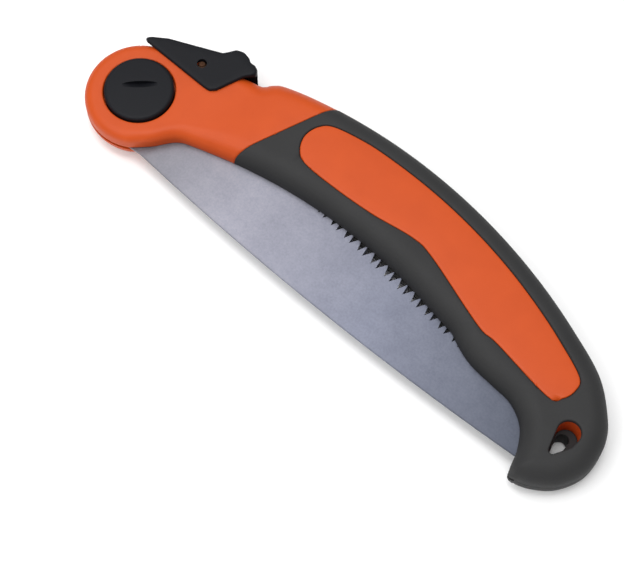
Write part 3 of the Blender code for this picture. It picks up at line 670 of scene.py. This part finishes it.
def channel_outline():
    """All that the folded blade fills and sweeps, with the pawl's slot at the top of the head."""
    top = CHANNEL_ROOM + TOOTH_DEPTH
    tip_radius = math.hypot(TIP_X, SPINE_ENDS_Y) + CHANNEL_CLEAR
    swept = arc(tip_radius, *TIP_SWEEP)
    tip_rear = (TIP_REAR[0] + CHANNEL_CLEAR, TIP_REAR[1] + CHANNEL_CLEAR + TIP_REAR_ROOM)
    (rest_left, _, _), (rest_right, rest_high, _) = [[v / MM for v in c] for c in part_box("blade_rest")]
    left, right, over = rest_left - REST_ROOM, rest_right + REST_ROOM, rest_high + REST_ROOM
    return [(SPACE_X[0], CHANNEL_LOW_Y), (swept[0][0], CHANNEL_LOW_Y), *swept, tip_rear,
            (CHANNEL_FALL_X, tooth_line(CHANNEL_FALL_X) + top),
            (right, tooth_line(rest_right) + top), (right, over), (left, over),
            (left, tooth_line(rest_left) + top), (HEAD_SLOT_X, tooth_line(HEAD_SLOT_X) + top),
            (HEAD_SLOT_X, HEAD_SLOT_Y), (SPACE_X[0], HEAD_SLOT_Y)]


def edge_rings(radius, count=5):
    """Distances from an edge at which its rounding gets a ring of points."""
    return [radius * (1 - math.cos(math.pi / 2 * n / count)) for n in range(1, count + 1)]


def window_outline():
    """The grip's window keeps one distance from the back and passes through its other points."""
    low, high = WINDOW_BACK_X
    rim = offset(handle_outline(WINDOW_STEP), WINDOW_RIM)
    back = [(x, y) for x, y in rim if low < x < high and y > WINDOW_SPLIT_Y]
    front = round_part(WINDOW_FRONT, *WINDOW_FRONT_ARC)
    rear = round_part(WINDOW_REAR, *WINDOW_REAR_ARC)
    return closed_smooth([*rear, *back, *front, *WINDOW_LOW], FINE)


def behind(edge):
    """Which cells lie on the pommel's side of a line across the handle."""
    return inside(plan.middle, [*edge, (edge[-1][0], SPACE_Y[0]), (SPACE_X[1], SPACE_Y[0]),
                                (SPACE_X[1], SPACE_Y[1]), (edge[0][0], SPACE_Y[1])])


outline = handle_outline()
window = turned_left(window_outline())
lanyard = turned_left(band(LANYARD, 0.8))
front_edge = resample(GRIP_FRONT, FINE)
window_land = thinned(offset(window, GROOVE), 0.3)
head_edge = offset(front_edge, -GROOVE, False).tolist()
channel = turned_left(sided(channel_outline(), CHANNEL_STEP))
channel_out = thinned(offset(channel, -2 * JUMP), 0.01)
skin_out, skin_in = (thinned(offset(outline, SKIN + d), 0.5) for d in (-JUMP, JUMP))
recess, recess_in = circle(0, 0, RECESS_RADIUS, 120), circle(0, 0, RECESS_RADIUS - 2 * JUMP, 120)
bolt_hole = circle(0, 0, BOLT_HOLE, 32)
pin_hole = circle(*PIN, PIN_HOLE, 28)
shade_lining = [thinned(offset(lanyard, depth), 0.3) for depth in (SHADE_LINING[0] - 2 * JUMP, *SHADE_LINING)]
shade_lining[2] = [(x + SHADE_LINING_SHIFT[0], y + SHADE_LINING_SHIFT[1]) for x, y in shade_lining[2]]
pawl_room = sided(PAWL_ROOM_CORNERS, CHANNEL_STEP)
stop_at = polar(STOP_DISTANCE, STOP_ANGLE)
pockets = [(0, 0, *WASHER_ROOM), (0, 0, *SLEEVE_ROOM),
           (*stop_at, STOP_RADIUS + STOP_ROOM[0], STOP_ROOM[1])]
pocket_loops = [circle(x, y, r + d, 28) for x, y, r, _ in pockets for d in (0, 2 * JUMP)]
screw_loops = [circle(x, y, r, 28) for x, y in SCREWS
               for r in (SCREW_HOLE, SCREW_SINK, SCREW_SINK + 2 * JUMP)]

rounding = edge_rings(EDGE_ROUND, ROUND_STEPS) + edge_rings(0.5 * (EDGE_ROUND + HEAD_ROUND[1]), ROUND_STEPS)
plan = Plan(
    [outline, window, window_land, lanyard, channel, channel_out, skin_out, skin_in, recess, recess_in,
     bolt_hole, pin_hole, *shade_lining, pawl_room, thinned(offset(pawl_room, -2 * JUMP), 0.01), *pocket_loops,
     *screw_loops],
    [front_edge, head_edge],
    [(outline, True, rounding),
     (window, True, [-r for r in edge_rings(GRIP_LIP)]),
     (window_land, True, [*edge_rings(LAND_LIP), *LAND_RINGS]),
     (lanyard, True, [-r for r in edge_rings(GRIP_LIP)]),
     (shade_lining[2], True, [-r for r in edge_rings(GRIP_LIP)]),
     (front_edge, False, edge_rings(GRIP_LIP)),
     (head_edge, False, [-r for r in edge_rings(LAND_LIP)]),
     (recess, True, [-r for r in edge_rings(RECESS_LIP)])])

to_outline = distance(plan.xy, segments(outline))
to_window = distance(plan.xy, segments(window))
to_land_edge = distance(plan.xy, segments(window_land))
to_lanyard = {1: distance(plan.xy, segments(lanyard)), -1: distance(plan.xy, segments(shade_lining[2]))}
to_front = distance(plan.xy, segments(front_edge, False))
to_head_edge = distance(plan.xy, segments(head_edge, False))
from_pivot = from_point(plan.xy)

in_handle = inside(plan.middle, outline)
in_window = inside(plan.middle, window)
in_land = inside(plan.middle, window_land)
in_hole = inside(plan.middle, lanyard)
in_shade_lining_hole = inside(plan.middle, shade_lining[2])
behind_front = behind(front_edge)
before_head_edge = ~behind(head_edge)
in_skin_out = inside(plan.middle, skin_out)
pin_gone = inside(plan.middle, pin_hole)
bolt_gone = inside(plan.middle, bolt_hole)
screw_holes = near_screws(plan.middle, SCREW_HOLE - HAIR)

floor = np.where(within(plan.xy, channel), CHANNEL_HALF, SPLIT)
floor = np.where(within(plan.xy, pawl_room), PAWL_ROOM, floor)
for px, py, radius, height in pockets:
    floor = np.where(from_point(plan.xy, (px, py)) < radius + HAIR, np.maximum(floor, height), floor)
spring_low, spring_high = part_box("lock_spring")
spring_x = (spring_low.x + spring_high.x) / 2 / MM
in_well = (np.abs(plan.xy[:, 0] - spring_x) < SPRING_WELL[0]) & (plan.xy[:, 1] < HEAD_SLOT_Y)
in_well &= plan.xy[:, 1] > spring_low.y / MM - SPRING_WELL[1]
floor = np.where(in_well, np.maximum(floor, SPRING_WELL[0]), floor)

core_round = round_over(GRIP_HALF - SKIN, EDGE_ROUND - SKIN, to_outline - SKIN)
core_top = np.where(to_outline > SKIN, core_round, SPLIT)
land_crown = LAND_CROWN * (1 - np.exp(-to_land_edge / LAND_CROWN_REACH))
land_top = LAND_HALF + land_crown - lip(to_land_edge, LAND_LIP)


def make_half(word, side):
    """Head, window land, core and soft grip of the front half (side 1) or the rear half (side -1)."""
    x = plan.xy[:, 0]
    rear_holes = screw_holes if side < 0 else np.zeros_like(screw_holes)
    solid_here = in_handle & ~in_hole & ~pin_gone & ~bolt_gone
    grip_low = np.maximum(floor, np.where(to_outline > SKIN, core_top, 0))
    grip_top = round_over(GRIP_HALF, edge_round(x, side), to_outline)
    grip_top = grip_top - lip(np.minimum(np.minimum(to_window, to_front), to_lanyard[side]), GRIP_LIP)
    head_top = round_over(shell_half(x), edge_round(x, side), to_outline) - lip(to_head_edge, LAND_LIP)
    inside_recess = from_pivot < RECESS_RADIUS - JUMP
    head_top = np.where(inside_recess, RECESS_FLOOR, head_top - lip(from_pivot - RECESS_RADIUS, RECESS_LIP))
    sunk = near_screws(plan.xy, SCREW_SINK + HAIR) & (side < 0)
    head = solid(f"{word}_head", plan, solid_here & before_head_edge & ~rear_holes,
                 np.where(sunk, SCREW_SEAT[0], head_top), floor, side)
    land = solid(f"{word}_land", plan, solid_here & in_land & ~rear_holes,
                 np.where(sunk, SCREW_SEAT[0], land_top), np.maximum(CHANNEL_HALF, floor) + LAND_BED, side)
    core_keep = solid_here & in_skin_out & ~before_head_edge & ~rear_holes
    core = solid(f"{word}_core", plan, core_keep, np.where(sunk, SCREW_SEAT[1], core_top), floor, side)
    grip_keep = solid_here & behind_front & ~in_window
    # On the rear half the grip fills the lanyard hole as a dark lining, painted shade for the hole's dark
    # depth.
    if side < 0:
        grip_keep |= in_hole & ~in_shade_lining_hole
        grip_low = np.where(within(plan.xy, shade_lining[1]), SPLIT, grip_low)
    grip = solid(f"{word}_grip", plan, grip_keep, grip_top, grip_low, side)
    add(f"{word}_hard_shell", head, ORANGE, "handle", "orange_shell", f"{word}_shell")
    add(f"{word}_window_land", land, ORANGE, "handle", "orange_shell")
    add(f"{word}_shell_core", core, ORANGE, "handle", "orange_shell")
    add(f"{word}_soft_grip", grip, GREY, "handle", "soft_grip", f"{word}_grip")


make_half("front", 1)
make_half("rear", -1)


# ---------------------------------------------------------------- blade

def spine_y(x):
    middle = (SPINE_X + TIP_X) / 2
    return SPINE_ENDS_Y - SPINE_SAG * (1 - ((x - middle) / (TIP_X - middle)) ** 2)


def spine():
    return [(x, spine_y(x)) for x in np.linspace(SPINE_X + 2, TIP_X - 1.5, SPINE_POINTS)]


def tooth_points(n):
    """Gullet and truncated tip of one tooth."""
    x = FIRST_GULLET[0] + n * TOOTH_PITCH
    tip_x = x + TOOTH_PITCH * (1 - TOOTH_LEAN)
    tip_y = tooth_line(x) + TOOTH_DEPTH
    return (x, tooth_line(x)), (tip_x - TOOTH_TIP, tip_y), (tip_x + TOOTH_TIP, tip_y)


def blade_outline():
    """Spine, raked tip, teeth, heel and the round tang with its two notches, anticlockwise."""
    step_angle = STOP_ANGLE + OPEN_ANGLE - 360 + math.degrees((STOP_RADIUS + STOP_TOUCH) / STOP_DISTANCE)
    points = [polar(TANG_STEP, step_angle), *spine()]
    points += [(TIP_X - 0.3, SPINE_ENDS_Y + 0.5), (TIP_X - 0.6, SPINE_ENDS_Y + 1.6), TIP_REAR]
    for n in reversed(range(TOOTH_COUNT)):
        gullet, near, far = tooth_points(n)
        points += [far, near, gullet]
    points += [(x, HEEL_Y) for x in HEEL_X]
    angle = HEEL_ANGLE
    for notch in (NOTCH_ANGLE, NOTCH_ANGLE + OPEN_ANGLE):
        near, far = notch - NOTCH_HALF_ANGLE, notch + NOTCH_HALF_ANGLE
        points += arc(TANG_RADIUS, angle, near)
        points += arc(NOTCH_FLOOR, near + NOTCH_TAPER, far - NOTCH_TAPER, 1)
        angle = far
    return points + arc(TANG_RADIUS, angle, 360 + step_angle)


def make_blade():
    """Every second tooth is ground from the front and the others from the rear."""
    edge = blade_outline()
    eye = circle(0, 0, BLADE_EYE)
    spine_line = spine()
    chamfer_line = [(x, y + CHAMFER[0] + HAIR) for x, y in spine_line[1:-1]]
    blade_plan = Plan([edge, eye], [chamfer_line], grid=6.0)
    keep = inside(blade_plan.middle, edge) & ~inside(blade_plan.middle, eye)
    from_spine = distance(blade_plan.xy, segments(spine_line, False))
    top = BLADE_HALF - CHAMFER[1] * np.clip(1 - from_spine / CHAMFER[0], 0, 1)
    moves = np.zeros((2, len(blade_plan.xy), 2))
    for n in range(TOOTH_COUNT):
        gullet, near, far = tooth_points(n)
        wide, narrow = (0, 1) if n % 2 == 0 else (1, 0)
        here = from_point(blade_plan.xy, gullet) < HAIR
        moves[wide, here, 0] -= GRIND_SIDE
        moves[narrow, here, 0] += GRIND_SIDE
        for tip in (near, far):
            moves[narrow, from_point(blade_plan.xy, tip) < HAIR, 1] -= GRIND_DROP
    mesh = solid("saw_blade", blade_plan, keep, top, -top, 1, 20, moves[0], moves[1])
    add("saw_blade", mesh, STEEL, "saw_blade", "blade_steel", "blade")


make_blade()


# ---------------------------------------------------------------- lever, knob and caps

def cut(name, mesh, tools):
    """A mesh cut by others."""
    obj = placed(name, mesh)
    helpers = [obj]
    for tool in tools:
        helper = placed("tool", tool)
        helpers.append(helper)
        modifier = obj.modifiers.new("cut", "BOOLEAN")
        modifier.operation = "DIFFERENCE"
        modifier.solver = "MANIFOLD"
        modifier.object = helper
    bpy.context.view_layer.update()
    made = bpy.data.meshes.new_from_object(obj.evaluated_get(bpy.context.evaluated_depsgraph_get()))
    for helper in helpers:
        bpy.data.objects.remove(helper)
    made.name = name
    return shaded(made)


def flat_solid(name, loop, half):
    flat_plan = Plan([loop], grid=5.0)
    keep = inside(flat_plan.middle, loop)
    high = np.full(len(flat_plan.xy), float(half))
    return solid(name, flat_plan, keep, high, -high)


def turned_mesh(name, profile, steps=96, smooth_angle=30):
    """A profile of (radius, height), highest first and closed on the axis, turned about the pivot's axis."""
    verts, faces = [], []
    for r, z in profile:
        for n in range(steps):
            a = 2 * math.pi * n / steps
            verts.append((r * math.cos(a) * MM, r * math.sin(a) * MM, (z + MID_Z) * MM))
    for row in range(len(profile) - 1):
        for n in range(steps):
            a, b = row * steps + n, row * steps + (n + 1) % steps
            faces.append((a, a + steps, b + steps, b))
    mesh = bpy.data.meshes.new(name)
    mesh.from_pydata(verts, [], faces)
    bm = bmesh.new()
    bm.from_mesh(mesh)
    bmesh.ops.remove_doubles(bm, verts=bm.verts, dist=1e-7)
    bmesh.ops.recalc_face_normals(bm, faces=bm.faces)
    bm.to_mesh(mesh)
    bm.free()
    return shaded(mesh, smooth_angle)


def lever_outline():
    return turned_left(resample([*LEVER_LOW, *LEVER_TOP, LEVER_LOW[0]], LEVER_STEP)[:-1])


def make_lever():
    """A saddle whose hollow clears the handle at rest and at both ends of the lever's travel."""
    loop = lever_outline()
    lever_plan = Plan([loop], (), [(loop, True, edge_rings(LEVER_EDGE, 4))], grid=2.5)
    keep = inside(lever_plan.middle, loop)
    top = round_over(LEVER_HALF, LEVER_EDGE, distance(lever_plan.xy, segments(loop)))
    body = solid("lever_body", lever_plan, keep, top, -top)
    grown = thinned([p for p in offset(outline, -LEVER_CLEAR).tolist() if p[0] < LEVER_REACH_X], 0.8)
    head_plan = Plan([grown], (), [(grown, True, rounding)], grid=5)
    head_keep = inside(head_plan.middle, grown)
    away = distance(head_plan.xy, segments(grown))
    head_x = head_plan.xy[:, 0]
    head_height = {side: round_over(shell_half(head_x) + LEVER_CLEAR,
                                    edge_round(head_x, side) + LEVER_CLEAR, away)
                   for side in (1, -1)}
    tools = []
    pivot = Matrix.Translation((PIN[0] * MM, PIN[1] * MM, 0))
    for turn in (LEVER_SWING[0], 0.0, LEVER_SWING[1]):
        tool = solid("lever_hollow", head_plan, head_keep, head_height[1], -head_height[-1])
        tool.transform(pivot @ Matrix.Rotation(math.radians(turn), 4, "Z") @ pivot.inverted())
        tools.append(tool)
    tools.append(flat_solid("lever_hole", circle(*PIN, PIN_HOLE, 40), CUT_HALF))
    tools.append(flat_solid("pawl_slot", LEVER_SLOT, PAWL_ROOM))
    mesh = cut("lock_lever_body", body, tools)
    add("lock_lever_body", mesh, BLACK, "lever", "black_plastic", "lock_lever")


def coin_slot():
    """The tool for a slot that is deep along its far wall and whose floor rises to the near edge."""
    long, half = SLOT_HALF
    loop = [(long * math.cos(a), half * math.sin(a)) for a in np.linspace(0, 2 * math.pi, 97)[:-1]]
    slot_plan = Plan([loop], (), [(loop, True, (0.08, 0.2, 0.4, 0.7))], grid=0.5, room=0.02)
    u, v = slot_plan.xy.T
    across = np.clip((v + half) / (2 * half), 0, 1)
    deep = SLOT_DEPTH * across * np.clip(1 - (u / long) ** 2, 0, 1)
    keep = inside(slot_plan.middle, loop)
    mesh = solid("slot", slot_plan, keep, np.full(len(u), float(CUT_HALF)), KNOB_TOP - SLOT_LEAST - deep)
    mesh.transform(Matrix.Translation((SLOT_CENTRE[0] * MM, SLOT_CENTRE[1] * MM, 0))
                   @ Matrix.Rotation(math.radians(SLOT_ANGLE), 4, "Z"))
    return mesh


def make_knob():
    width, height = KNOB_RIM
    flat = KNOB_RADIUS - width
    dome = [(flat * t, KNOB_TOP - KNOB_DOME * t ** 2) for t in np.linspace(0, 1, 10)]
    rim = [(flat + width * math.sin(a), KNOB_TOP - KNOB_DOME - height * (1 - math.cos(a)))
           for a in np.linspace(0.15, math.pi / 2, 8)]
    body = turned_mesh("knob", [*dome, *rim, (KNOB_RADIUS, CAP_FOOT), (0, CAP_FOOT)])
    mesh = cut("pivot_knob_cap", body, [coin_slot()])
    add("pivot_knob_cap", mesh, BLACK, "pivot_screw", "black_plastic", "pivot_knob")


def make_rear_cap():
    outer = [(0, -CAP_FOOT), (KNOB_RADIUS, -CAP_FOOT), (KNOB_RADIUS, CAP_RIM_Z)]
    outer += [(KNOB_RADIUS - CAP_RIM * (1 - math.cos(a)), CAP_RIM_Z - CAP_RIM * math.sin(a))
              for a in np.linspace(0.1, math.pi / 2, 8)]
    mesh = turned_mesh("rear_pivot_cap", [*outer, (0, -GRIP_HALF)])
    add("rear_pivot_cap", mesh, BLACK, "handle", "black_plastic", "rear_cap")


def make_spring():
    """The coil between the handle and the lever, built at rest; the script does not shorten it as the lever
    is pressed.
    """
    low, high = spring_low.y / MM, spring_high.y / MM
    coil = (spring_high.x - spring_low.x) / 2 / MM - SPRING_WIRE
    count = SPRING_TURNS * SPRING_STEPS
    verts, faces = [], []
    for n in range(count + 1):
        turn = 2 * math.pi * SPRING_TURNS * n / count
        y = low + SPRING_WIRE + (high - low - 2 * SPRING_WIRE) * n / count
        for k in range(SPRING_SIDES):
            around = 2 * math.pi * k / SPRING_SIDES
            reach = coil + SPRING_WIRE * math.cos(around)
            verts.append(((spring_x + reach * math.cos(turn)) * MM, (y + SPRING_WIRE * math.sin(around)) * MM,
                          (reach * math.sin(turn) + MID_Z) * MM))
    for n in range(count):
        for k in range(SPRING_SIDES):
            a, b = n * SPRING_SIDES + k, n * SPRING_SIDES + (k + 1) % SPRING_SIDES
            faces.append((a, b, b + SPRING_SIDES, a + SPRING_SIDES))
    faces += [tuple(reversed(range(SPRING_SIDES))), tuple(range(count * SPRING_SIDES, len(verts)))]
    mesh = bpy.data.meshes.new("spring_coil")
    mesh.from_pydata(verts, [], faces)
    spring = add("lock_spring_coil", shaded(mesh, 60), ZINC, "handle", "zinc_steel", "lock_spring")
    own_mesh(spring)


make_lever()
make_knob()
make_rear_cap()
make_spring()

CARRIED = {"pivot_bolt": ZINC, "pivot_nut": ZINC, "pivot_sleeve": ZINC, "front_washer": ZINC,
           "rear_washer": ZINC, "spring_washer": ZINC, "stop_pin": ZINC,
           "lock_pawl": LOCK_STEEL, "lever_pin": BRONZE, "blade_rest": RUBBER}
for number in range(1, len(SCREWS) + 1):
    CARRIED[f"handle_screw_{number}"] = ZINC
for node, material in CARRIED.items():
    obj = frame["nodes"][node]
    obj.data.materials.clear()
    obj.data.materials.append(material)


# ---------------------------------------------------------------- floor, light, camera

def make_floor():
    mesh = bpy.data.meshes.new("floor")
    half = 3.0
    corners = [(-half, -half, 0), (half, -half, 0), (half, half, 0), (-half, half, 0)]
    mesh.from_pydata(corners, [], [(0, 1, 2, 3)])
    obj = placed("floor", mesh)
    m = Nodes("floor_white", Roughness=0.9)
    m.colour((0.97, 0.97, 0.97))
    mesh.materials.append(m.material)
    obj.location.z = -0.0002


def area_light(name, location, aim, size, power):
    light = bpy.data.lights.new(name, "AREA")
    light.shape = "RECTANGLE"
    light.size, light.size_y = size
    light.energy = power
    obj = placed(name, light)
    obj.location = location
    obj.rotation_euler = (Vector(aim) - Vector(location)).to_track_quat("-Z", "Y").to_euler()


def make_studio():
    world = bpy.data.worlds.new("studio")
    bpy.context.scene.world = world
    world.use_nodes = True
    nodes, links = world.node_tree.nodes, world.node_tree.links
    background = nodes["Background"]
    where = nodes.new("ShaderNodeTexCoord")
    split = nodes.new("ShaderNodeSeparateXYZ")
    ramp = nodes.new("ShaderNodeMapRange")
    links.new(where.outputs["Generated"], split.inputs[0])
    links.new(split.outputs["Z"], ramp.inputs["Value"])
    ramp.inputs["From Min"].default_value = 0.0
    ramp.inputs["From Max"].default_value = 0.9
    ramp.inputs["To Min"].default_value = 0.30
    ramp.inputs["To Max"].default_value = 0.78
    links.new(ramp.outputs["Result"], background.inputs["Strength"])
    background.inputs["Color"].default_value = (1, 1, 1, 1)
    centre = (0.10, 0.01, 0.01)
    area_light("overhead", (-0.28, 0.08, 0.88), centre, (0.6, 0.6), 2.6)
    area_light("top", (0.18, -0.04, 1.05), (0.18, -0.01, 0), (0.3, 0.3), 3.2)
    area_light("belly_fill", (-0.06, -0.58, 0.76), centre, (0.7, 0.5), 3.6)
    bpy.context.scene.view_settings.view_transform = "Standard"


def make_camera():
    azimuth, elevation, away = math.radians(41.0), math.radians(67.5), 0.69333
    aim = Vector((0.09655, -0.00686, -0.02838 + MID_Z * MM))
    back = Vector((math.sin(azimuth) * math.cos(elevation), -math.cos(azimuth) * math.cos(elevation),
                   math.sin(elevation)))
    data = bpy.data.cameras.new("camera")
    data.lens = 100
    data.sensor_width = 36
    obj = placed("camera", data)
    obj.location = aim + back * away
    obj.rotation_euler = back.to_track_quat("Z", "Y").to_euler()
    bpy.context.scene.camera = obj


make_floor()
make_studio()
make_camera()
